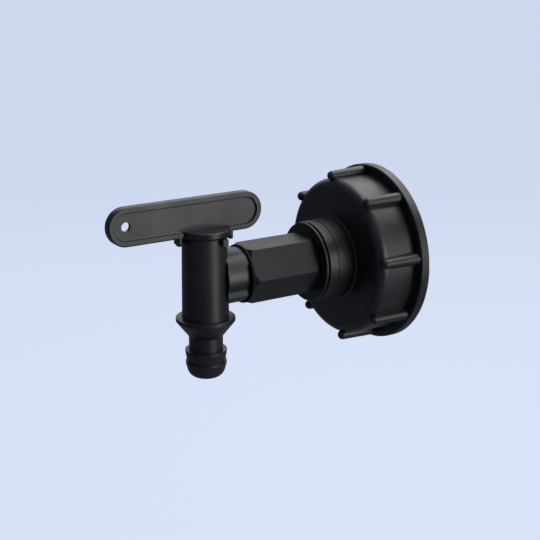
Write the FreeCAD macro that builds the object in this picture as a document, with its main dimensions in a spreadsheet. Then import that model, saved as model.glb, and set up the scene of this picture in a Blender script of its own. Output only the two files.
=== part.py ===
"""IBC tank valve: a screw cap, a reducing coupling and a quarter-turn lever tap.

World frame, millimetres: the origin is the centre of the cap's open mouth, +X points
from the tap into the tank, +Z is up.  The tap's own axis is vertical and stands
tap_offset behind the mouth.
"""
import FreeCAD, Part
import math
import os

import Sketcher
from FreeCAD import Placement, Rotation, Vector

# ---------------------------------------------------------------- driving dimensions
SIZES = {
    # screw cap for the tank's 60 mm outlet
    "flange_radius": 40.0,
    "flange_thickness": 4.5,
    "flange_edge": 0.6,
    "skirt_radius": 35.4,
    "cap_depth": 23.5,
    "cap_wall": 3.5,
    "shoulder_round": 4.2,
    "mouth_radius": 30.0,
    "mouth_chamfer": 0.5,
    "rib_count": 8,
    "rib_turn": -8.0,
    "rib_rise": 1.1,
    "rib_front_radius": 2.2,
    "rib_back_radius": 2.9,
    "rib_setback": 0.2,
    # neck moulded on the front of the cap
    "neck_length": 13.55,
    "neck_radius": 18.2,
    "neck_root": 0.9,
    "lip_length": 4.7,
    "lip_radius": 17.9,
    "lip_edge": 0.5,
    "neck_bore": 13.2,
    "neck_bore_depth": 14.0,
    "neck_water": 9.0,
    # flat gasket on the floor of the cap
    "gasket_thickness": 3.0,
    "gasket_outer": 30.3,
    "gasket_inner": 20.0,
    "pocket_radius": 30.6,
    "pocket_slack": 0.2,
    # reducing coupling
    "coupling_length": 34.5,
    "disc_radius": 17.6,
    "disc_thickness": 1.4,
    "disc_edge": 0.35,
    "hex_flats": 23.9,
    "hex_turn": 2.0,
    "hex_land": 12.35,
    "hex_chamfer": 1.8,
    "male_length": 12.5,
    "male_gap": 0.1,
    "thread_chamfer": 0.8,
    "socket_depth": 15.5,
    "coupling_water": 7.0,
    "seal_inner": 13.6,
    "seal_outer": 16.9,
    "seal_thickness": 1.0,
    "seal_sink": 0.55,
    # washer between the coupling and the tap
    "washer_thickness": 1.2,
    "washer_outer": 12.85,
    # tap: side inlet
    "stub_length": 16.3,
    "stub_start": 6.0,
    "stub_radius": 11.9,
    "stub_flats": 18.6,
    "inlet_thread_radius": 10.35,
    "inlet_thread_length": 14.0,
    "inlet_water": 5.5,
    "fit_gap": 0.1,
    # tap: barrel, collar and hose nose
    "body_top": 19.6,
    "rim_chamfer": 0.4,
    "barrel_top_radius": 9.6,
    "barrel_low_radius": 10.1,
    "collar_drop": 16.4,
    "collar_radius": 12.8,
    "collar_edge": 0.4,
    "collar_band": 1.5,
    "collar_cone": 7.0,
    "nose_neck": 7.35,
    "barb_drop": 31.0,
    "barb_radius": 9.0,
    "barb_land": 0.9,
    "barb_low_radius": 8.25,
    "tip_drop": 36.3,
    "tip_radius": 8.9,
    "tip_land": 0.8,
    "tip_round_drop": 40.0,
    "tip_round_radius": 8.15,
    "tip_end_radius": 5.7,
    "nose_drop": 43.0,
    "outlet_water": 4.4,
    # tap: inside the barrel
    "plug_bore": 7.6,
    "plug_seat_drop": 14.5,
    "running_gap": 0.05,
    "snap_groove_radius": 8.1,
    "snap_groove_low": 16.5,
    "snap_groove_high": 18.0,
    "seat_radius": 6.55,
    "seat_depth": 9.35,
    "seat_thickness": 1.6,
    "seat_gap": 0.05,
    # tap: lugs that stop the lever at its two ends
    "stop_bottom": 16.4,
    "stop_width": 2.5,
    "stop_reach": 11.9,
    "stop_root": 7.5,
    "stop_round": 1.4,
    "stop_gap": 0.3,
    # plug
    "plug_floor_gap": 0.2,
    "plug_top": 14.3,
    "plug_lead": 0.6,
    "plug_water": 4.8,
    "plug_roof": 6.0,
    "plug_port": 4.7,
    "ring_height": 10.0,
    "ring_section": 1.4,
    "ring_slack": 0.1,
    "stem_width": 7.0,
    "stem_length": 5.9,
    "stem_gap": 0.02,
    # lever
    "lever_left": 44.6,
    "lever_right": 27.0,
    "lever_lift": 0.32,
    "lever_height": 16.4,
    "lever_thickness": 4.2,
    "lever_edge": 0.6,
    "rim_width": 2.3,
    "web_thickness": 1.9,
    "recess_round": 0.5,
    "hang_hole": 2.05,
    "cover_radius": 11.0,
    "cover_thickness": 2.7,
    "cover_edge": 0.5,
    "hub_radius": 7.35,
    "hub_end": 14.6,
    "snap_radius": 7.95,
    "tab_reach": 12.75,
    "tab_thickness": 1.0,
    "tab_bottom": 16.4,
    "tab_round": 1.3,
}

# ------------------------------------------------- dimensions that follow from the others
DERIVED = {
    "neck_end": "cap_depth + neck_length",
    "cap_floor": "cap_depth - cap_wall",
    "mouth_lead": "mouth_radius + mouth_chamfer",
    "pocket_end": "gasket_thickness + pocket_slack - cap_floor",
    "rib_axis": "skirt_radius + rib_rise",
    "coupling_offset": "neck_end + seal_thickness - seal_sink",
    "washer_offset": "coupling_offset + coupling_length + washer_thickness",
    "tap_offset": "washer_offset + stub_length",
    "male_radius": "neck_bore - male_gap",
    "seal_groove": "seal_outer + male_gap",
    "hex_length": "coupling_length - disc_thickness",
    "hex_corner": "hex_flats / 2 / cos(30)",
    "hex_over": "hex_corner + 1",
    "socket_radius": "inlet_thread_radius + fit_gap",
    "socket_lead": "socket_radius + thread_chamfer",
    "core_radius": "hex_flats / 2 - 0.3",
    "stub_side": "stub_flats / 2",
    "stub_chord": "sqrt(stub_radius ^ 2 - (stub_flats / 2) ^ 2)",
    "inlet_end": "stub_length + inlet_thread_length",
    "neck_drop": "collar_drop + collar_band + collar_cone",
    "plug_radius": "plug_bore - running_gap",
    "plug_bottom": "plug_seat_drop - plug_floor_gap",
    "groove_radius": "plug_radius - ring_slack - ring_section",
    "ring_low": "ring_height - ring_section / 2 - 0.1",
    "ring_high": "ring_height + ring_section / 2 + 0.1",
    "ring_centre": "groove_radius + ring_section / 2 + 0.02",
    "stem_half": "stem_width / 2",
    "socket_half": "stem_width / 2 + stem_gap",
    "socket_top": "plug_top + stem_length + 0.2",
    "seat_outer": "seat_radius - seat_gap",
    "seat_inner": "seat_outer - seat_thickness",
    "seat_end": "seat_depth - seat_gap",
    "stop_side": "lever_thickness / 2 + stop_gap",
    "stop_length": "stop_reach - stop_root",
    "lever_bottom": "body_top + lever_lift",
    "lever_top": "lever_bottom + lever_height",
    "lever_end": "lever_height / 2",
    "lever_middle": "lever_bottom + lever_end",
    "lever_side": "lever_thickness / 2",
    "recess_depth": "(lever_thickness - web_thickness) / 2",
    "recess_bottom": "lever_bottom + rim_width",
    "recess_top": "lever_top - rim_width",
    "cover_top": "lever_bottom + cover_thickness",
    "snap_low": "snap_groove_low + 0.2",
    "snap_high": "snap_groove_high - 0.2",
    "tab_top": "lever_bottom + lever_edge + 0.2",
}
for side in range(6):
    DERIVED[f"corner_across_{side}"] = f"0 - hex_corner * sin(hex_turn + {60 * side - 30})"
    DERIVED[f"corner_up_{side}"] = f"hex_corner * cos(hex_turn + {60 * side - 30})"

doc = FreeCAD.newDocument("ibc_tank_valve")
dims = doc.addObject("Spreadsheet::Sheet", "dims")
for row, (alias, value) in enumerate(SIZES.items(), start=1):
    dims.set(f"A{row}", alias)
    dims.set(f"B{row}", str(value))
    dims.setAlias(f"B{row}", alias)
doc.recompute()
for row, (alias, formula) in enumerate(DERIVED.items(), start=1):
    dims.set(f"D{row}", alias)
    dims.set(f"E{row}", "=" + formula)
    dims.setAlias(f"E{row}", alias)
doc.recompute()


# ------------------------------------------------------------------------ helpers
def reading(text):
    """Value of a sum of sheet names and numbers, such as 'cap_wall - cap_depth'."""
    total = 0.0
    sign = 1.0
    for word in text.split():
        if word in "+-":
            sign = 1.0 if word == "+" else -1.0
        else:
            known = word in SIZES or word in DERIVED
            total += sign * float(dims.get(word) if known else word)
    return total


def formula(text):
    """The same sum as an expression that reads the sheet."""
    words = [f"dims.{word}" if word in SIZES or word in DERIVED else word for word in text.split()]
    return " ".join(words)


def bind(thing, prop, text):
    thing.setExpression(prop, formula(text))


def new_body(label, along=None):
    """A body called label, moved along X to minus the named offset."""
    body = doc.addObject("PartDesign::Body", label)
    body.Label = label
    if along:
        bind(body, "Placement.Base.x", f"0 - {along}")
    return body


def origin_part(body, role):
    for feature in body.Origin.OriginFeatures:
        if feature.Role == role:
            return feature
    raise LookupError(role)


def new_sketch(body, name, role, lift=None):
    """An empty sketch on one of the body's own origin planes, lifted along its normal."""
    sketch = body.newObject("Sketcher::SketchObject", name)
    sketch.AttachmentSupport = [(origin_part(body, role), "")]
    sketch.MapMode = "FlatFace"
    if lift:
        bind(sketch, "AttachmentOffset.Base.z", lift)
    return sketch


def pin_point(sketch, name, geometry, position, across, up):
    """Hold a point of the sketch at (across, up), each bound to the sheet."""
    for axis, kind, text in ((-2, "DistanceX", across), (-1, "DistanceY", up)):
        if text == "0":
            sketch.addConstraint(Sketcher.Constraint("PointOnObject", geometry, position, axis))
            continue
        index = sketch.addConstraint(
            Sketcher.Constraint(kind, -1, 1, geometry, position, reading(text))
        )
        label = f"{name}_{kind[-1].lower()}"
        sketch.renameConstraint(index, label)
        bind(sketch, f"Constraints.{label}", text)


def arc_through(start, end, bulge):
    """Arc from start to end whose middle lies bulge to the left of the chord."""
    chord = end - start
    left = Vector(-chord.y, chord.x, 0).normalize()
    middle = (start + end) * 0.5 + left * bulge
    return Part.Arc(start, middle, end)


def outline(body, name, role, corners, lift=None):
    """Closed outline through corners.

    Each corner is (across, up) or (across, up, kind), where kind says how the next corner
    is reached: by a line, by a "tangent" arc, or by a radius named with its side, such as
    "left stub_radius", for an arc that bulges to that side of the way.
    """
    sketch = new_sketch(body, name, role, lift)
    points = [Vector(reading(corner[0]), reading(corner[1]), 0) for corner in corners]
    kinds = [corner[2] if len(corner) > 2 else "line" for corner in corners]
    ends = []
    for index, kind in enumerate(kinds):
        start = points[index]
        end = points[(index + 1) % len(points)]
        if kind == "line":
            sketch.addGeometry(Part.LineSegment(start, end), False)
            ends.append((1, 2))
            continue
        half = (end - start).Length / 2
        if kind == "tangent":
            way = (start - points[index - 1]).normalize()
            turn = way.cross(end - start).z
            lean = (end - start).getAngle(way)
            bulge = -math.copysign(half * math.tan(lean / 2), turn)
        else:
            side, alias = kind.split()
            radius = reading(alias)
            bulge = radius - math.sqrt(max(radius ** 2 - half ** 2, 0.0))
            bulge = bulge if side == "left" else -bulge
        curve = arc_through(start, end, bulge)
        sketch.addGeometry(curve, False)
        ends.append((2, 1) if bulge > 0 else (1, 2))
        if kind != "tangent":
            held = sketch.addConstraint(Sketcher.Constraint("Radius", index, radius))
            sketch.renameConstraint(held, f"radius_{index}")
            bind(sketch, f"Constraints.radius_{index}", alias)
    for index, kind in enumerate(kinds):
        before = index - 1 if index else len(points) - 1
        joint = "Tangent" if kind == "tangent" else "Coincident"
        sketch.addConstraint(
            Sketcher.Constraint(joint, before, ends[before][1], index, ends[index][0])
        )
        pin_point(sketch, f"p{index}", index, ends[index][0], *corners[index][:2])
    return sketch


def circle(body, name, role, radius, across="0", up="0", lift=None):
    sketch = new_sketch(body, name, role, lift)
    centre = Vector(reading(across), reading(up), 0)
    sketch.addGeometry(Part.Circle(centre, Vector(0, 0, 1), reading(radius)), False)
    held = sketch.addConstraint(Sketcher.Constraint("Radius", 0, reading(radius)))
    sketch.renameConstraint(held, "size")
    bind(sketch, "Constraints.size", radius)
    pin_point(sketch, "centre", 0, 3, across, up)
    return sketch


def volume_of(body):
    return body.Shape.Volume if body.Shape and not body.Shape.isNull() else 0.0


def add_feature(body, kind, name, profile, **settings):
    """Add a sketched feature and check that it adds or removes material as it should."""
    doc.recompute()
    before = volume_of(body)
    feature = body.newObject(f"PartDesign::{kind}", name)
    feature.Profile = profile
    for key, value in settings.items():
        if key == "axis":
            feature.ReferenceAxis = (profile, [value])
        elif key == "length":
            bind(feature, "Length", value)
        else:
            setattr(feature, key, value)
    profile.Visibility = False
    doc.recompute()
    change = volume_of(body) - before
    removes = kind in ("Pocket", "Groove")
    if change * (-1 if removes else 1) <= 1e-6:
        raise RuntimeError(f"{body.Label}: {name} changes nothing")
    return feature


def round_edges(body, name, radius, wanted, kind="Fillet"):
    """Round, or chamfer, the edges of the body's last feature that wanted() picks."""
    doc.recompute()
    base = body.Tip
    names = [f"Edge{i}" for i, edge in enumerate(base.Shape.Edges, start=1) if wanted(edge)]
    if not names:
        raise RuntimeError(f"{body.Label}: {name} finds no edge")
    feature = body.newObject(f"PartDesign::{kind}", name)
    feature.Base = (base, names)
    bind(feature, "Radius" if kind == "Fillet" else "Size", radius)
    doc.recompute()
    return feature


def near(value, target, slack=1e-4):
    return abs(value - target) < slack


def lies_at(edge, axis, place):
    """True for an edge that lies wholly in the plane where the axis has that value."""
    box = edge.BoundBox
    low, high = (getattr(box, f"{axis}Min"), getattr(box, f"{axis}Max"))
    return near(low, place, 1e-3) and near(high, place, 1e-3)


def ring(body, name, start, end, inner, outer):
    """Plain ring about X from start to end."""
    corners = [(start, inner), (start, outer), (end, outer), (end, inner)]
    profile = outline(body, f"{name}_profile", "XZ_Plane", corners)
    return add_feature(body, "Revolution", name, profile, axis="H_Axis", Angle=360)


# ------------------------------------------------------------------------ screw cap
def make_cap():
    body = new_body("cap")
    wall = [
        ("0", "mouth_lead"),
        ("0", "flange_radius - flange_edge", "tangent"),
        ("0 - flange_edge", "flange_radius"),
        ("flange_edge - flange_thickness", "flange_radius", "tangent"),
        ("0 - flange_thickness", "flange_radius - flange_edge"),
        ("0 - flange_thickness", "skirt_radius"),
        ("shoulder_round - cap_depth", "skirt_radius", "tangent"),
        ("0 - cap_depth", "skirt_radius - shoulder_round"),
        ("0 - cap_depth", "neck_radius + neck_root", "tangent"),
        ("0 - cap_depth - neck_root", "neck_radius"),
        ("lip_length - neck_end", "neck_radius"),
        ("lip_length - neck_end", "lip_radius"),
        ("lip_edge - neck_end", "lip_radius", "tangent"),
        ("0 - neck_end", "lip_radius - lip_edge"),
        ("0 - neck_end", "neck_bore + thread_chamfer"),
        ("thread_chamfer - neck_end", "neck_bore"),
        ("neck_bore_depth - neck_end", "neck_bore"),
        ("neck_bore_depth - neck_end", "neck_water"),
        ("0 - cap_floor", "neck_water"),
        ("0 - cap_floor", "pocket_radius"),
        ("pocket_end", "pocket_radius"),
        ("pocket_end", "mouth_radius"),
        ("0 - mouth_chamfer", "mouth_radius"),
    ]
    profile = outline(body, "cap_wall_profile", "XZ_Plane", wall)
    add_feature(body, "Revolution", "cap_wall", profile, axis="H_Axis", Angle=360)

    # one grip rib: a tapered bar with a ball end, half sunk in the skirt
    bar = [
        ("rib_setback - cap_depth", "0", "left rib_front_radius"),
        ("rib_setback + rib_front_radius - cap_depth", "rib_front_radius"),
        ("0 - flange_edge - flange_edge", "rib_back_radius"),
        ("0 - flange_edge - flange_edge", "0"),
    ]
    rib_sketch = outline(body, "rib_profile", "XZ_Plane", bar)
    rib_sketch.AttachmentOffset = Placement(Vector(), Rotation(Vector(1, 0, 0), 1))
    rib_sketch.setExpression("AttachmentOffset.Rotation.Angle", "dims.rib_turn")
    rib_sketch.setExpression("AttachmentOffset.Base.y", "dims.rib_axis * cos(dims.rib_turn)")
    rib_sketch.setExpression("AttachmentOffset.Base.z", "dims.rib_axis * sin(dims.rib_turn)")
    rib = add_feature(body, "Revolution", "rib", rib_sketch, axis="H_Axis", Angle=360)
    ribs = body.newObject("PartDesign::PolarPattern", "ribs")
    ribs.Originals = [rib]
    ribs.Axis = (origin_part(body, "X_Axis"), [""])
    ribs.Angle = 360
    bind(ribs, "Occurrences", "rib_count")
    body.Tip = ribs
    return body


def make_gasket():
    body = new_body("tank_gasket")
    ring(body, "flat_ring", "0 - cap_floor", "gasket_thickness - cap_floor", "gasket_inner", "gasket_outer")
    return body


# ------------------------------------------------------------------------ coupling
def make_neck_seal():
    body = new_body("neck_seal", "neck_end")
    ring(body, "flat_ring", "0 - seal_thickness", "0", "seal_inner", "seal_outer")
    return body


def make_coupling():
    """Origin on the disc's face towards the cap; the hexagon runs along -X."""
    body = new_body("coupling", "coupling_offset")
    shank = [
        ("male_length", "0"),
        ("male_length", "male_radius - thread_chamfer"),
        ("male_length - thread_chamfer", "male_radius"),
        ("0", "male_radius"),
        ("0", "seal_inner"),
        ("0 - seal_sink", "seal_inner"),
        ("0 - seal_sink", "seal_groove"),
        ("0", "seal_groove"),
        ("0", "disc_radius - disc_edge", "tangent"),
        ("0 - disc_edge", "disc_radius"),
        ("disc_edge - disc_thickness", "disc_radius", "tangent"),
        ("0 - disc_thickness", "disc_radius - disc_edge"),
        ("0 - disc_thickness", "core_radius"),
        ("0 - coupling_length", "core_radius"),
        ("0 - coupling_length", "0"),
    ]
    profile = outline(body, "shank_profile", "XZ_Plane", shank)
    add_feature(body, "Revolution", "shank", profile, axis="H_Axis", Angle=360)

    corners = [(f"corner_across_{side}", f"corner_up_{side}") for side in range(6)]
    hexagon = outline(body, "hexagon", "YZ_Plane", corners, "0 - coupling_length")
    add_feature(body, "Pad", "hex_bar", hexagon, length="hex_length")

    # both ends of the hexagon are turned back to a round land
    tap_end = [
        ("0 - coupling_length", "hex_land"),
        ("hex_chamfer - coupling_length", "hex_corner"),
        ("hex_chamfer - coupling_length", "hex_over"),
        ("0 - coupling_length - 1", "hex_over"),
        ("0 - coupling_length - 1", "hex_land"),
    ]
    profile = outline(body, "tap_chamfer_profile", "XZ_Plane", tap_end)
    add_feature(body, "Groove", "tap_chamfer", profile, axis="H_Axis", Angle=360)
    cap_end = [
        ("0 - disc_thickness", "hex_land"),
        ("0 - disc_thickness - hex_chamfer", "hex_corner"),
        ("0 - disc_thickness - hex_chamfer", "hex_over"),
        ("0 - disc_thickness", "hex_over"),
    ]
    profile = outline(body, "cap_chamfer_profile", "XZ_Plane", cap_end)
    add_feature(body, "Groove", "cap_chamfer", profile, axis="H_Axis", Angle=360)

    bore = [
        ("0 - coupling_length", "0"),
        ("0 - coupling_length", "socket_lead"),
        ("thread_chamfer - coupling_length", "socket_radius"),
        ("socket_depth - coupling_length", "socket_radius"),
        ("socket_depth - coupling_length", "coupling_water"),
        ("male_length", "coupling_water"),
        ("male_length", "0"),
    ]
    profile = outline(body, "bore_profile", "XZ_Plane", bore)
    add_feature(body, "Groove", "bore", profile, axis="H_Axis", Angle=360)
    return body


def make_inlet_washer():
    body = new_body("inlet_washer", "washer_offset")
    ring(body, "flat_ring", "0", "washer_thickness", "socket_radius", "washer_outer")
    return body


# ------------------------------------------------------------------------ tap body
def make_tap_body():
    """Origin where the pipe's axis crosses the barrel's; the inlet points along +X."""
    body = new_body("tap_body", "tap_offset")
    barrel = [
        ("0", "body_top"),
        ("barrel_top_radius - rim_chamfer", "body_top"),
        ("barrel_top_radius", "body_top - rim_chamfer"),
        ("barrel_low_radius", "0 - collar_drop"),
        ("collar_radius - collar_edge", "0 - collar_drop", "tangent"),
        ("collar_radius", "0 - collar_drop - collar_edge"),
        ("collar_radius", "0 - collar_drop - collar_band"),
        ("nose_neck", "0 - neck_drop"),
        ("nose_neck", "0 - barb_drop"),
        ("barb_radius", "0 - barb_drop"),
        ("barb_radius", "0 - barb_drop - barb_land"),
        ("barb_low_radius", "0 - tip_drop"),
        ("tip_radius", "0 - tip_drop"),
        ("tip_radius", "0 - tip_drop - tip_land"),
        ("tip_round_radius", "0 - tip_round_drop", "tangent"),
        ("tip_end_radius", "0 - nose_drop"),
        ("0", "0 - nose_drop"),
    ]
    profile = outline(body, "barrel_profile", "XZ_Plane", barrel)
    add_feature(body, "Revolution", "barrel", profile, axis="V_Axis", Angle=360)

    stub = [
        ("stub_side", "0 - stub_chord"),
        ("stub_side", "stub_chord", "right stub_radius"),
        ("0 - stub_side", "stub_chord"),
        ("0 - stub_side", "0 - stub_chord", "right stub_radius"),
    ]
    section = outline(body, "stub_section", "YZ_Plane", stub, "stub_start")
    add_feature(body, "Pad", "stub", section, length="stub_length - stub_start")
    section = circle(body, "inlet_section", "YZ_Plane", "inlet_thread_radius", lift="stub_start")
    add_feature(body, "Pad", "inlet_thread", section, length="inlet_end - stub_start")

    # lugs under the lever's cover: one for each end of its quarter turn
    lug = [
        ("stop_side", "body_top"),
        ("stop_side", "stop_bottom + stop_round", "tangent"),
        ("stop_side + stop_round", "stop_bottom"),
        ("stop_side + stop_width", "stop_bottom"),
        ("stop_side + stop_width", "body_top"),
    ]
    for name, role, lift in (
        ("closed_stop", "XZ_Plane", "stop_root"),
        ("open_stop", "YZ_Plane", "0 - stop_reach"),
    ):
        section = outline(body, f"{name}_section", role, lug, lift)
        add_feature(body, "Pad", name, section, length="stop_length")

    inside = [
        ("0", "body_top"),
        ("plug_bore", "body_top"),
        ("plug_bore", "snap_groove_high"),
        ("snap_groove_radius", "snap_groove_high"),
        ("snap_groove_radius", "snap_groove_low"),
        ("plug_bore", "snap_groove_low"),
        ("plug_bore", "0 - plug_seat_drop"),
        ("outlet_water", "0 - plug_seat_drop"),
        ("outlet_water", "0 - nose_drop"),
        ("0", "0 - nose_drop"),
    ]
    profile = outline(body, "inside_profile", "XZ_Plane", inside)
    add_feature(body, "Groove", "inside", profile, axis="V_Axis", Angle=360)
    inlet = [
        ("0", "0"),
        ("0", "seat_radius"),
        ("seat_depth", "seat_radius"),
        ("seat_depth", "inlet_water"),
        ("inlet_end", "inlet_water"),
        ("inlet_end", "0"),
    ]
    profile = outline(body, "inlet_profile", "XZ_Plane", inlet)
    add_feature(body, "Groove", "inlet", profile, axis="H_Axis", Angle=360)
    return body


def make_port_seat():
    """Rubber ring in the inlet's mouth, hollowed to the plug's radius."""
    body = new_body("port_seat", "tap_offset")
    ring(body, "seat_ring", "stem_half", "seat_end", "seat_inner", "seat_outer")
    bore = circle(body, "bore_section", "XY_Plane", "plug_bore")
    add_feature(body, "Pocket", "hollow", bore, Type="ThroughAll", Midplane=True)
    return body


# ------------------------------------------------------------------------ plug
def make_plug():
    body = new_body("valve_plug", "tap_offset")
    wall = [
        ("0", "plug_roof"),
        ("plug_water", "plug_roof"),
        ("plug_water", "0 - plug_bottom"),
        ("plug_radius - plug_lead", "0 - plug_bottom"),
        ("plug_radius", "plug_lead - plug_bottom"),
        ("plug_radius", "0 - ring_high"),
        ("groove_radius", "0 - ring_high"),
        ("groove_radius", "0 - ring_low"),
        ("plug_radius", "0 - ring_low"),
        ("plug_radius", "ring_low"),
        ("groove_radius", "ring_low"),
        ("groove_radius", "ring_high"),
        ("plug_radius", "ring_high"),
        ("plug_radius", "plug_top"),
        ("0", "plug_top"),
    ]
    profile = outline(body, "wall_profile", "XZ_Plane", wall)
    add_feature(body, "Revolution", "wall", profile, axis="V_Axis", Angle=360)
    section = circle(body, "port_section", "YZ_Plane", "plug_port")
    add_feature(body, "Pocket", "port", section, Type="ThroughAll", Reversed=True)
    square = [
        ("stem_half", "stem_half"),
        ("0 - stem_half", "stem_half"),
        ("0 - stem_half", "0 - stem_half"),
        ("stem_half", "0 - stem_half"),
    ]
    section = outline(body, "stem_section", "XY_Plane", square, "plug_top")
    add_feature(body, "Pad", "stem", section, length="stem_length")
    return body


def make_plug_ring(label, height):
    torus = doc.addObject("Part::Torus", label)
    torus.Label = label
    bind(torus, "Radius1", "ring_centre")
    torus.setExpression("Radius2", "dims.ring_section / 2")
    bind(torus, "Placement.Base.x", "0 - tap_offset")
    bind(torus, "Placement.Base.z", height)
    return torus


# ------------------------------------------------------------------------ lever
def make_lever():
    body = new_body("lever", "tap_offset")

    def paddle(name, inset, low, high, lift=None):
        """Long outline with round ends, inset from the paddle's edge."""
        left = "lever_end - lever_left"
        right = "lever_right - lever_end"
        corners = [
            (left, low),
            (right, low, "tangent"),
            (right, high),
            (left, high, "tangent"),
        ]
        return outline(body, name, "XZ_Plane", corners, lift)

    section = paddle("paddle_section", "0", "lever_bottom", "lever_top")
    add_feature(body, "Pad", "paddle", section, length="lever_thickness", Midplane=True)
    side = reading("lever_side")
    round_edges(
        body, "paddle_edges", "lever_edge", lambda edge: lies_at(edge, "Y", side) or lies_at(edge, "Y", -side)
    )

    # the same shallow recess on both faces leaves a rim and a thin web
    section = paddle("front_recess_section", "rim_width", "recess_bottom", "recess_top", "lever_side")
    add_feature(body, "Pocket", "front_recess", section, length="recess_depth")
    section = paddle("back_recess_section", "rim_width", "recess_bottom", "recess_top", "0 - lever_side")
    add_feature(body, "Pocket", "back_recess", section, length="recess_depth", Reversed=True)
    web = reading("lever_side - recess_depth")
    round_edges(
        body, "web_edges", "recess_round", lambda edge: lies_at(edge, "Y", web) or lies_at(edge, "Y", -web)
    )

    # round cover over the barrel, with the hub that snaps into it
    cover = [
        ("0", "cover_top"),
        ("cover_radius - cover_edge", "cover_top", "tangent"),
        ("cover_radius", "cover_top - cover_edge"),
        ("cover_radius", "lever_bottom + cover_edge", "tangent"),
        ("cover_radius - cover_edge", "lever_bottom"),
        ("hub_radius", "lever_bottom"),
        ("hub_radius", "snap_high"),
        ("snap_radius", "snap_high"),
        ("snap_radius", "snap_high - cover_edge"),
        ("hub_radius", "snap_low"),
        ("hub_radius", "hub_end"),
        ("0", "hub_end"),
    ]
    profile = outline(body, "cover_profile", "XZ_Plane", cover)
    add_feature(body, "Revolution", "cover", profile, axis="V_Axis", Angle=360)

    # a thin tab under the rim on each side of the barrel meets the stops
    tab = [
        ("lever_side", "tab_top"),
        ("0 - lever_side", "tab_top"),
        ("0 - lever_side", "tab_bottom + tab_round", "tangent"),
        ("tab_round - lever_side", "tab_bottom"),
        ("lever_side - tab_round", "tab_bottom", "tangent"),
        ("lever_side", "tab_bottom + tab_round"),
    ]
    section = outline(body, "tab_section", "YZ_Plane", tab, "tab_reach - tab_thickness")
    right_tab = add_feature(body, "Pad", "right_tab", section, length="tab_thickness")
    tabs = body.newObject("PartDesign::Mirrored", "tabs")
    tabs.Originals = [right_tab]
    tabs.MirrorPlane = (origin_part(body, "YZ_Plane"), [""])
    body.Tip = tabs

    square = [
        ("socket_half", "socket_half"),
        ("0 - socket_half", "socket_half"),
        ("0 - socket_half", "0 - socket_half"),
        ("socket_half", "0 - socket_half"),
    ]
    section = outline(body, "socket_section", "XY_Plane", square, "hub_end")
    add_feature(body, "Pocket", "socket", section, length="socket_top - hub_end", Reversed=True)
    hole = circle(body, "hang_hole_section", "XZ_Plane", "hang_hole", "lever_end - lever_left", "lever_middle")
    add_feature(body, "Pocket", "hang_hole", hole, Type="ThroughAll", Midplane=True)
    return body


# ------------------------------------------------------------------------ build
pieces = [
    make_cap(),
    make_gasket(),
    make_neck_seal(),
    make_coupling(),
    make_inlet_washer(),
    make_tap_body(),
    make_port_seat(),
    make_plug(),
    make_plug_ring("upper_plug_ring", "ring_height"),
    make_plug_ring("lower_plug_ring", "0 - ring_height"),
    make_lever(),
]
doc.recompute()

for item in doc.Objects:
    if "Invalid" in item.State or "Error" in item.State:
        raise RuntimeError(f"{item.Label} failed: {item.State}")
for piece in pieces:
    if piece.Shape.isNull() or not piece.Shape.isValid() or len(piece.Shape.Solids) != 1:
        raise RuntimeError(f"{piece.Label} is not one valid solid")

os.makedirs("parts", exist_ok=True)
for piece in pieces:
    piece.Shape.exportStep(f"parts/{piece.Label}.step")
    box = piece.Shape.BoundBox
    print(
        f"{piece.Label}: {piece.Shape.Volume:.0f} mm3, x {box.XMin:.2f}..{box.XMax:.2f}, "
        f"y {box.YMin:.2f}..{box.YMax:.2f}, z {box.ZMin:.2f}..{box.ZMax:.2f}"
    )
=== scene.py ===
# %% [markdown]
# # A tank valve: screw cap, coupling and lever tap
# The valve that closes a bulk liquid tank is three mouldings of black polypropylene screwed
# together: a wide ribbed cap, a hexagonal reducer and a small tap with a hose nose.  The CAD
# model already holds their exact shapes, so this lesson is mostly about making black plastic
# look like moulded plastic, and about the soft and fine pieces that CAD leaves plain: rubber
# rings, the cap's coarse thread and the small marks that a mould leaves.

# %% Load the fixed model
import math

import bmesh
import bpy
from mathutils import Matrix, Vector


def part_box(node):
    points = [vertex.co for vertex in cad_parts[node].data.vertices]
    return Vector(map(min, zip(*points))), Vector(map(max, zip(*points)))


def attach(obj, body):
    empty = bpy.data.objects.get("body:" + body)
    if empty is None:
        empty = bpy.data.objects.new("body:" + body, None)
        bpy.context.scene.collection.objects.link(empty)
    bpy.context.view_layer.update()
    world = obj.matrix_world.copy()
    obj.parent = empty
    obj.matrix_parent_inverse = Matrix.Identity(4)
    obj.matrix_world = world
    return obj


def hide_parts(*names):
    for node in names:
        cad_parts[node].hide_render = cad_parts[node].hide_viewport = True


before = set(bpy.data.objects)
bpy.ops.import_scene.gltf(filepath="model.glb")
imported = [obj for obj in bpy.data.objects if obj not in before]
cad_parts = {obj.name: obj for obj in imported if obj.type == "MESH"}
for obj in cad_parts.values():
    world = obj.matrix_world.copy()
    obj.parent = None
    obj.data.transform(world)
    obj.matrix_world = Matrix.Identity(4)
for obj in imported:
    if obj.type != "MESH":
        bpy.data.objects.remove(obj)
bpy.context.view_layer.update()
MM = 0.001
print("nodes:", sorted(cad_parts))

# %% [markdown]
# ## Where everything is
# Positions could be typed in, but they would go stale when the model changes.  They are read
# from the boxes of the CAD nodes instead.  The pipe's axis is the X axis, with the cap's open
# mouth at its +X end, and the barrel is upright.

# %% Measure the pieces
mouth_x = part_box("cap")[1][0]
nose_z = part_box("tap_body")[0][2]
print(f"cap mouth at x = {mouth_x / MM:.2f} mm, end of the hose nose at z = {nose_z / MM:.2f} mm")

# %% [markdown]
# ## Shared surface effects
# Three things happen on every moulded face.  The mould's own texture gives a fine grain.
# Handling and slow cooling make some patches a little glossier than others.  Dust settles on
# what faces up.  Each is a node group with named inputs, so every material can use it with
# its own values.

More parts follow.
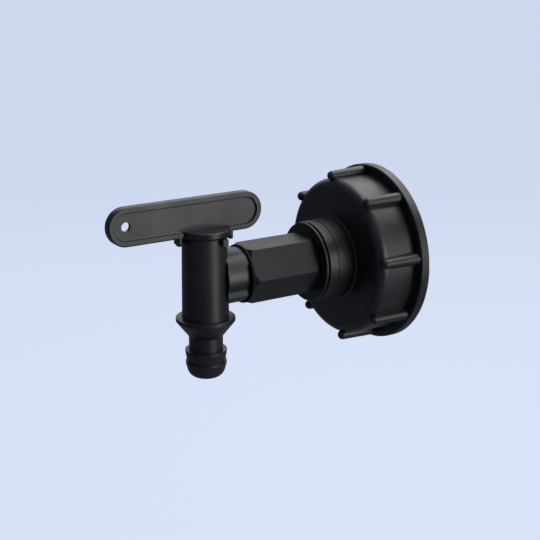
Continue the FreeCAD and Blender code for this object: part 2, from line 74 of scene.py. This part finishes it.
# %% A small helper for node groups
def new_group(name, inputs, outputs):
    """A shader node group with float inputs {name: default} and float outputs."""
    group = bpy.data.node_groups.new(name, "ShaderNodeTree")
    group.interface.new_socket("Position", in_out="INPUT", socket_type="NodeSocketVector")
    for title, default in inputs.items():
        socket = group.interface.new_socket(title, in_out="INPUT", socket_type="NodeSocketFloat")
        socket.default_value = default
    for title in outputs:
        group.interface.new_socket(title, in_out="OUTPUT", socket_type="NodeSocketFloat")
    entry = group.nodes.new("NodeGroupInput")
    leave = group.nodes.new("NodeGroupOutput")
    return group, entry, leave


def maths(tree, operation, first, second=0.5, clamp=False):
    """A Math node; first and second are sockets or numbers."""
    node = tree.nodes.new("ShaderNodeMath")
    node.operation = operation
    node.use_clamp = clamp
    for socket, value in zip(node.inputs, (first, second)):
        if isinstance(value, (int, float)):
            socket.default_value = value
        else:
            tree.links.new(value, socket)
    return node.outputs[0]


def noise(tree, position, scale, detail=2.0, roughness=0.5):
    """A Noise texture's value at a position, with scale in features per metre."""
    node = tree.nodes.new("ShaderNodeTexNoise")
    node.inputs["Detail"].default_value = detail
    node.inputs["Roughness"].default_value = roughness
    tree.links.new(position, node.inputs["Vector"])
    if isinstance(scale, (int, float)):
        node.inputs["Scale"].default_value = scale
    else:
        tree.links.new(scale, node.inputs["Scale"])
    return node.outputs[0]


def spread(tree, value, low, high, to_low=0.0, to_high=1.0):
    """A Map Range node that stretches low..high to to_low..to_high."""
    node = tree.nodes.new("ShaderNodeMapRange")
    tree.links.new(value, node.inputs["Value"])
    for title, number in (
        ("From Min", low), ("From Max", high), ("To Min", to_low), ("To Max", to_high),
    ):
        node.inputs[title].default_value = number
    return node.outputs["Result"]


# %% Grain left by the mould
def make_grain_group():
    """Height of a spark-eroded mould face: a fine pebble with a slower swell under it."""
    group, entry, leave = new_group("mould grain", {"Pebble": 4200.0, "Swell": 160.0}, ["Height"])
    pebble = noise(group, entry.outputs["Position"], entry.outputs["Pebble"], 3.0, 0.6)
    swell = noise(group, entry.outputs["Position"], entry.outputs["Swell"], 1.0, 0.4)
    deep = maths(group, "MULTIPLY", swell, 1.6)
    height = maths(group, "ADD", pebble, deep)
    group.links.new(height, leave.inputs["Height"])
    return group


mould_grain = make_grain_group()
print("made", mould_grain.name)


# %% Patches of gloss, rubs and fine scratches
def make_rub_group():
    """Two masks: cloudy patches of gloss, and fine scratches drawn along X."""
    group, entry, leave = new_group(
        "handling", {"Patch": 70.0, "Scratch": 900.0}, ["Patches", "Scratches"]
    )
    cloud = noise(group, entry.outputs["Position"], entry.outputs["Patch"], 4.0, 0.6)
    group.links.new(spread(group, cloud, 0.35, 0.68), leave.inputs["Patches"])

    squeeze = group.nodes.new("ShaderNodeVectorMath")
    squeeze.operation = "MULTIPLY"
    squeeze.inputs[1].default_value = (0.06, 1.0, 0.8)
    group.links.new(entry.outputs["Position"], squeeze.inputs[0])
    hairs = noise(group, squeeze.outputs[0], entry.outputs["Scratch"], 2.0, 0.5)
    thin = spread(group, hairs, 0.70, 0.78)
    where = spread(group, noise(group, entry.outputs["Position"], 45.0, 1.0), 0.5, 0.62)
    group.links.new(maths(group, "MULTIPLY", thin, where), leave.inputs["Scratches"])
    return group


handling = make_rub_group()
print("made", handling.name)


# %% Dust on what faces up
def make_dust_group():
    """How much dust lies on a point: speckled, and only where the surface faces up."""
    group, entry, leave = new_group("settled dust", {"Amount": 0.5}, ["Dust"])
    facing = group.nodes.new("ShaderNodeNewGeometry")
    split = group.nodes.new("ShaderNodeSeparateXYZ")
    group.links.new(facing.outputs["Normal"], split.inputs[0])
    up = spread(group, split.outputs["Z"], 0.35, 1.0)
    speck = spread(group, noise(group, entry.outputs["Position"], 1500.0, 3.0, 0.7), 0.45, 0.8)
    drift = spread(group, noise(group, entry.outputs["Position"], 60.0, 2.0), 0.3, 0.75)
    lying = maths(group, "MULTIPLY", maths(group, "MULTIPLY", up, speck), drift)
    group.links.new(maths(group, "MULTIPLY", lying, entry.outputs["Amount"]), leave.inputs["Dust"])
    return group


settled_dust = make_dust_group()
print("made", settled_dust.name)

# %% [markdown]
# ## Black moulded plastic
# Real "black" plastic is a very dark grey with a shine that comes only from its surface.  The
# colour stays nearly flat, and the roughness and the bump carry the look.  Edges from a mould
# are never sharp, so a Bevel node rounds the shading of each edge by a fraction of a
# millimetre, under the grain.

# %% The plastic and rubber recipe
PLASTIC_IOR = 1.49
RUBBED = (0.06, 0.06, 0.065)
DUST_GREY = (0.16, 0.16, 0.165)
SCRATCH_SHOWS = 0.35
SCRATCH_DULLS = 0.12
DUST_DULLS = 0.3


def place(tree, group, position, **values):
    """A node group in a material, fed with the position and its own values."""
    node = tree.nodes.new("ShaderNodeGroup")
    node.node_tree = group
    tree.links.new(position, node.inputs["Position"])
    for title, value in values.items():
        node.inputs[title].default_value = value
    return node


def mixed_colour(tree, factor, base, other):
    node = tree.nodes.new("ShaderNodeMix")
    node.data_type = "RGBA"
    tree.links.new(factor, node.inputs["Factor"])
    for socket, colour in ((node.inputs[6], base), (node.inputs[7], other)):
        if isinstance(colour, tuple):
            socket.default_value = (*colour, 1.0)
        else:
            tree.links.new(colour, socket)
    return node.outputs[2]


def moulded(name, colour, gloss, pebble, depth, edge=0.35, dust=0.3, specular=0.5, lines=None):
    """A moulded surface.

    gloss is the roughness range (shiny patch, dull patch), pebble the grain's features per
    metre, depth its bump in millimetres, edge the rounding of edges in millimetres.  lines
    adds marks: a function that takes the tree and a position and returns a height.
    """
    material = bpy.data.materials.new(name)
    material.use_nodes = True
    tree = material.node_tree
    shader = tree.nodes["Principled BSDF"]
    shader.inputs["IOR"].default_value = PLASTIC_IOR
    shader.inputs["Specular IOR Level"].default_value = specular
    where = tree.nodes.new("ShaderNodeTexCoord").outputs["Object"]

    grain = place(tree, mould_grain, where, Pebble=pebble)
    rubs = place(tree, handling, where)
    dusty = place(tree, settled_dust, where, Amount=dust)

    lighter = tuple(min(1.0, part * 1.5 + 0.002) for part in colour)
    tone = mixed_colour(tree, rubs.outputs["Patches"], colour, lighter)
    scratched = maths(tree, "MULTIPLY", rubs.outputs["Scratches"], SCRATCH_SHOWS)
    rubbed = mixed_colour(tree, scratched, tone, RUBBED)
    dusted = mixed_colour(tree, dusty.outputs["Dust"], rubbed, DUST_GREY)
    tree.links.new(dusted, shader.inputs["Base Color"])

    shine = spread(tree, rubs.outputs["Patches"], 0.0, 1.0, gloss[0], gloss[1])
    scratch_dull = maths(tree, "MULTIPLY", rubs.outputs["Scratches"], SCRATCH_DULLS)
    dust_dull = maths(tree, "MULTIPLY", dusty.outputs["Dust"], DUST_DULLS)
    shine = maths(tree, "ADD", shine, scratch_dull)
    shine = maths(tree, "ADD", shine, dust_dull, clamp=True)
    tree.links.new(shine, shader.inputs["Roughness"])

    height = grain.outputs["Height"]
    if lines:
        height = maths(tree, "ADD", height, lines(tree, where))
    rounded = tree.nodes.new("ShaderNodeBevel")
    rounded.samples = 6
    rounded.inputs["Radius"].default_value = edge * MM
    bump = tree.nodes.new("ShaderNodeBump")
    bump.inputs["Strength"].default_value = 1.0
    bump.inputs["Distance"].default_value = depth * MM
    tree.links.new(height, bump.inputs["Height"])
    tree.links.new(rounded.outputs["Normal"], bump.inputs["Normal"])
    tree.links.new(bump.outputs["Normal"], shader.inputs["Normal"])
    return material


# %% [markdown]
# ## Marks that a mould leaves
# A mould opens along a line, and a hair of plastic stands up there: the parting line.  The
# tap's runs down the middle of the barrel, in the plane of the pipe.  The lever's follows
# the middle of its rim.

# %% Parting line along a plane
def parting_line(width=0.10, strength=5.0):
    """A thin raised line where Y is 0, with its width in millimetres."""
    def height(tree, where):
        split = tree.nodes.new("ShaderNodeSeparateXYZ")
        tree.links.new(where, split.inputs[0])
        away = maths(tree, "ABSOLUTE", split.outputs["Y"])
        line = spread(tree, away, 0.0, width * MM, 1.0, 0.0)
        return maths(tree, "MULTIPLY", line, strength)
    return height


# %% Rings turned into the cap's mould
def turned_rings(pitch=0.35, strength=0.25):
    """Faint rings about the X axis, as a lathe leaves them on a mould's face."""
    def height(tree, where):
        split = tree.nodes.new("ShaderNodeSeparateXYZ")
        tree.links.new(where, split.inputs[0])
        square = maths(
            tree, "ADD",
            maths(tree, "POWER", split.outputs["Y"], 2.0),
            maths(tree, "POWER", split.outputs["Z"], 2.0),
        )
        radius = maths(tree, "SQRT", square)
        turns = maths(tree, "MULTIPLY", radius, 2 * math.pi / (pitch * MM))
        return maths(tree, "MULTIPLY", maths(tree, "SINE", turns), strength)
    return height


# %% Make the finishes
BLACK = (0.0125, 0.0128, 0.0145)
finishes = {
    "cap": moulded("cap plastic", BLACK, (0.36, 0.46), 3600.0, 0.010, lines=turned_rings()),
    "coupling": moulded(
        "coupling plastic", BLACK, (0.42, 0.52), 5200.0, 0.006, edge=0.4, dust=0.1, specular=0.4
    ),
    "tap_body": moulded("tap plastic", BLACK, (0.34, 0.44), 4200.0, 0.008, lines=parting_line()),
    "lever": moulded("lever plastic", BLACK, (0.32, 0.42), 4200.0, 0.008, lines=parting_line()),
    "valve_plug": moulded("plug plastic", BLACK, (0.28, 0.36), 5200.0, 0.005),
}
rubber = moulded(
    "black rubber", (0.006, 0.006, 0.0063), (0.62, 0.78), 2600.0, 0.018, edge=0.25, dust=0.2, specular=0.2
)
for node, finish in finishes.items():
    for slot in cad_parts[node].material_slots:
        slot.material = finish
    print(f"{node}: {finish.name}")

# %% [markdown]
# ## Rubber rings
# A rubber ring never has a turned edge: its corners are round, and it bulges a little where
# it is squeezed.  A torus primitive would be too round and a bevelled cylinder has no bulge,
# so each ring is a closed profile swung round the pipe's axis, one row of corners at a time.
# It takes the place of the plain ring in the CAD model.

# %% Swing a profile round an axis
def swung(name, profile, steps=128):
    """A closed ring about the X axis: profile is a list of (along, radius) in metres."""
    mesh = bpy.data.meshes.new(name)
    ring = bmesh.new()
    rows = []
    for step in range(steps):
        angle = 2 * math.pi * step / steps
        row = []
        for along, radius in profile:
            row.append(ring.verts.new((along, radius * math.cos(angle), radius * math.sin(angle))))
        rows.append(row)
    count = len(profile)
    for step in range(steps):
        here, there = rows[step], rows[(step + 1) % steps]
        for index in range(count):
            after = (index + 1) % count
            ring.faces.new((here[index], here[after], there[after], there[index]))
    bmesh.ops.recalc_face_normals(ring, faces=ring.faces)
    ring.to_mesh(mesh)
    ring.free()
    for face in mesh.polygons:
        face.use_smooth = True
    piece = bpy.data.objects.new(name, mesh)
    bpy.context.collection.objects.link(piece)
    return piece


def soft_section(start, end, inner, outer, corner, bulge=0.0, arc=5, sides=6):
    """A rectangle with round corners whose inner and outer sides bulge.

    The bulge stays within the outer radius, so the ring never leaves the CAD one's box.
    """
    points = []
    corners = (
        (end - corner, outer - bulge - corner, 0), (start + corner, outer - bulge - corner, 90),
        (start + corner, inner + bulge + corner, 180), (end - corner, inner + bulge + corner, 270),
    )
    for along, radius, turn in corners:
        for step in range(arc + 1):
            angle = math.radians(turn + 90 * step / arc)
            points.append((along + corner * math.cos(angle), radius + corner * math.sin(angle)))
        if turn in (0, 180):
            way = 1 if turn == 0 else -1
            low, high = (end - corner, start + corner) if turn == 0 else (start + corner, end - corner)
            side = outer - bulge if turn == 0 else inner + bulge
            for step in range(1, sides):
                share = step / sides
                swell = bulge * math.sin(math.pi * share)
                points.append((low + (high - low) * share, side + way * swell))
    return points


# %% Make the rings
RINGS = {  # node: inner radius, corner radius and bulge, in millimetres
    "tank_gasket": (20.0, 0.45, 0.12),
    "neck_seal": (13.6, 0.18, 0.08),
    "inlet_washer": (10.45, 0.22, 0.10),
}


def ring_round_pipe(node, inner, corner, bulge):
    """A soft ring about the pipe's axis in the place of a CAD ring."""
    low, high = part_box(node)
    outer = high[2]
    section = soft_section(low[0], high[0], inner, outer, corner, bulge)
    piece = swung(f"{node}_soft", section)
    piece.data.materials.append(rubber)
    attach(piece, "valve_body")
    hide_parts(node)
    print(f"{piece.name}: {len(piece.data.polygons)} faces, r {inner / MM:.1f} to {outer / MM:.1f} mm")


for node, sizes in RINGS.items():
    ring_round_pipe(node, *(size * MM for size in sizes))

# %% [markdown]
# ## The rings inside the tap
# The plug turns between two O-rings, and a hollowed ring in the inlet seals its port.  They
# only show in a cut view, but they are real pieces, so they get the same rubber.

# %% Finish the inner rings
for node in ("upper_plug_ring", "lower_plug_ring", "port_seat"):
    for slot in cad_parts[node].material_slots:
        slot.material = rubber
    print(f"{node}: {rubber.name}")

# %% [markdown]
# ## The cap's coarse thread
# The tank's outlet has a coarse thread with a pitch of 6 mm.  A thread is a profile swept
# along a helix, and a Screw modifier could do that.  Here the sweep is written out vertex by
# vertex instead, so its ends can fade into the wall as a moulded thread's do.

# %% Sweep the thread
THREAD_WALL = 30.0 * MM
THREAD_DEPTH = 1.7 * MM
THREAD_PITCH = 6.0 * MM
THREAD_START = 14.0 * MM
THREAD_END = 3.4 * MM
THREAD_SUNK = 0.05 * MM
FADES_PER_TURN = 5


def coarse_thread(wall, depth, pitch, first, last, steps=96):
    """A buttress thread inside a wall about X, right-handed, from x = first to x = last."""
    turns = (last - first) / pitch
    count = int(steps * turns)
    root, crest = 0.44 * pitch, 0.14 * pitch
    mesh = bpy.data.meshes.new("cap_thread")
    sweep = bmesh.new()
    rows = []
    for step in range(count + 1):
        share = step / count
        fade = min(1.0, share * turns * FADES_PER_TURN, (1 - share) * turns * FADES_PER_TURN)
        fade = math.sin(fade * math.pi / 2)
        angle = 2 * math.pi * share * turns
        along = first + (last - first) * share
        top = wall - depth * fade
        section = (
            (along - root, wall + THREAD_SUNK), (along - crest, top),
            (along + crest * 1.4, top), (along + root * 0.8, wall + THREAD_SUNK),
        )
        rows.append([
            sweep.verts.new((x, -radius * math.sin(angle), radius * math.cos(angle)))
            for x, radius in section
        ])
    for step in range(count):
        here, there = rows[step], rows[step + 1]
        for index in range(4):
            after = (index + 1) % 4
            sweep.faces.new((here[index], here[after], there[after], there[index]))
    sweep.faces.new(rows[0])
    sweep.faces.new(list(reversed(rows[-1])))
    bmesh.ops.recalc_face_normals(sweep, faces=sweep.faces)
    sweep.to_mesh(mesh)
    sweep.free()
    piece = bpy.data.objects.new("cap_thread", mesh)
    bpy.context.collection.objects.link(piece)
    return piece


cap_thread = coarse_thread(
    THREAD_WALL, THREAD_DEPTH, THREAD_PITCH, mouth_x - THREAD_START, mouth_x - THREAD_END
)
edges = cap_thread.modifiers.new("soft edges", "BEVEL")
edges.width = 0.3 * MM
edges.segments = 2
edges.limit_method = "ANGLE"
cap_thread.data.materials.append(finishes["cap"])
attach(cap_thread, "valve_body")
print(f"cap_thread: {len(cap_thread.data.polygons)} faces")

# %% [markdown]
# ## Room, lamps and camera
# Black plastic shows its shape by what it mirrors, so the lamps are large and soft.  One is
# overhead for the tops, and one behind gives the far edges a rim.  The third stands low in
# front to the right, because upright faces seen from above mirror what lies below the
# horizon.  The floor is pale and far enough below that only a faint shadow reaches it.  Floor
# and room are brighter to the camera than in reflections, because their full strength would
# turn black plastic grey.

# %% Floor and room
ROOM = (0.640, 0.715, 0.895)
FLOOR_PAINT = (0.10, 0.11, 0.13)
FLOOR_DROP = 0.30
FLOOR_HALF = 9.0
FLOOR_SHOWN = 0.93
FLOOR_MIRRORED = 0.09
ROOM_MIRRORED = 0.10
ROOM_LIGHT = 0.10


def ray_kinds(tree):
    """Two masks: rays that the camera follows, and rays that a glossy face mirrors."""
    rays = tree.nodes.new("ShaderNodeLightPath").outputs
    seen = maths(tree, "MAXIMUM", rays["Is Camera Ray"], rays["Is Transmission Ray"])
    return seen, rays["Is Glossy Ray"]


def pale_floor():
    mesh = bpy.data.meshes.new("floor")
    plane = bmesh.new()
    bmesh.ops.create_grid(plane, x_segments=1, y_segments=1, size=FLOOR_HALF)
    plane.to_mesh(mesh)
    plane.free()
    floor = bpy.data.objects.new("floor", mesh)
    floor.location.z = nose_z - FLOOR_DROP
    bpy.context.collection.objects.link(floor)
    material = bpy.data.materials.new("pale floor")
    material.use_nodes = True
    tree = material.node_tree
    shader = tree.nodes["Principled BSDF"]
    shader.inputs["Base Color"].default_value = (*FLOOR_PAINT, 1.0)
    shader.inputs["Roughness"].default_value = 0.9
    shader.inputs["Emission Color"].default_value = (*ROOM, 1.0)
    seen, glossy = ray_kinds(tree)
    mirrored = maths(tree, "MULTIPLY", glossy, FLOOR_MIRRORED)
    strength = maths(tree, "ADD", maths(tree, "MULTIPLY", seen, FLOOR_SHOWN), mirrored)
    tree.links.new(strength, shader.inputs["Emission Strength"])
    mesh.materials.append(material)
    return floor


def pale_room():
    world = bpy.data.worlds.new("room")
    world.use_nodes = True
    bpy.context.scene.world = world
    tree = world.node_tree
    background = tree.nodes["Background"]
    background.inputs["Color"].default_value = (*ROOM, 1.0)
    seen, glossy = ray_kinds(tree)
    mirrored = maths(tree, "MULTIPLY", glossy, ROOM_MIRRORED)
    strength = maths(tree, "MAXIMUM", seen, maths(tree, "ADD", mirrored, ROOM_LIGHT))
    tree.links.new(strength, background.inputs["Strength"])
    return world


floor = pale_floor()
room = pale_room()
print("floor at z =", round(floor.location.z, 3))


# %% Lamps
def soft_lamp(name, centre, aim, size, watts):
    """A rectangular soft lamp at centre that faces aim."""
    light = bpy.data.lights.new(name, "AREA")
    light.shape = "RECTANGLE"
    light.size, light.size_y = size
    light.energy = watts
    lamp = bpy.data.objects.new(name, light)
    lamp.location = centre
    lamp.rotation_mode = "QUATERNION"
    lamp.rotation_quaternion = (Vector(aim) - Vector(centre)).to_track_quat("-Z", "Y")
    bpy.context.collection.objects.link(lamp)
    return lamp


middle = (-0.06, 0.0, 0.0)
lamps = [
    soft_lamp("overhead", (0.45, 0.10, 0.95), middle, (1.2, 1.0), 11.0),
    soft_lamp("front right", (0.35, -1.05, 0.10), middle, (0.5, 0.8), 6.0),
    soft_lamp("behind", (0.55, 0.95, 0.55), middle, (1.4, 0.9), 3.5),
]
print("lamps:", [lamp.name for lamp in lamps])

# %% Camera
TURN = math.radians(-32.0)
LIFT = math.radians(16.65)
SENSOR = 36.0
LENS = 82.4
CAMERA_AT = (-0.3317, -0.4396, 0.1541)
camera_data = bpy.data.cameras.new("camera")
camera_data.sensor_width = SENSOR
camera_data.lens = LENS
camera = bpy.data.objects.new("camera", camera_data)
camera.location = CAMERA_AT
back = Vector((math.sin(TURN) * math.cos(LIFT), -math.cos(TURN) * math.cos(LIFT), math.sin(LIFT)))
camera.rotation_mode = "QUATERNION"
camera.rotation_quaternion = (-back).to_track_quat("-Z", "Y")
bpy.context.collection.objects.link(camera)
bpy.context.scene.camera = camera
bpy.context.scene.view_settings.view_transform = "Standard"
print("camera at", tuple(round(part, 4) for part in camera.location))

# %% [markdown]
# ## The size
# The looks must not change the part's size.

# %% Update the view layer
bpy.context.view_layer.update()
